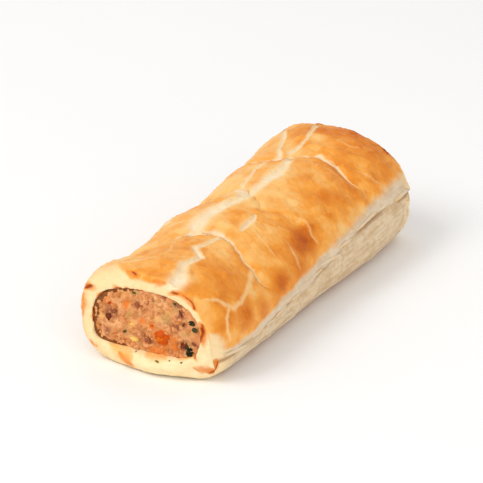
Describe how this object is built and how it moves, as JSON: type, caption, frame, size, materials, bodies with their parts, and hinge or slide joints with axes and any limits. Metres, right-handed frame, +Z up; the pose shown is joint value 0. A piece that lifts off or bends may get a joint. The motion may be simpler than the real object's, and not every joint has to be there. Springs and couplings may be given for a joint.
{
  "type": "sausage roll",
  "caption": "Baked puff pastry roll cut square at both ends, with slashed puffed crown, side seam, flat base and a seasoned meat filling showing at each cut.",
  "frame": {"origin": "middle of the flat base, under the middle of the whole shape", "axes": "+Z up from the base it rests on, +Y along the roll towards its far cut end, +X to the side with the pastry seam"},
  "size_m": [0.0622, 0.1492, 0.0392],
  "materials": {
    "pastry": "baked puff pastry, egg-washed golden crown with a soft shine, pale matte sides and cut edges",
    "filling": "cooked seasoned minced meat, coarse, moist, semi-gloss"
  },
  "bodies": {
    "root": {"pastry": "pastry", "filling": "filling"}
  },
  "joints": []
}
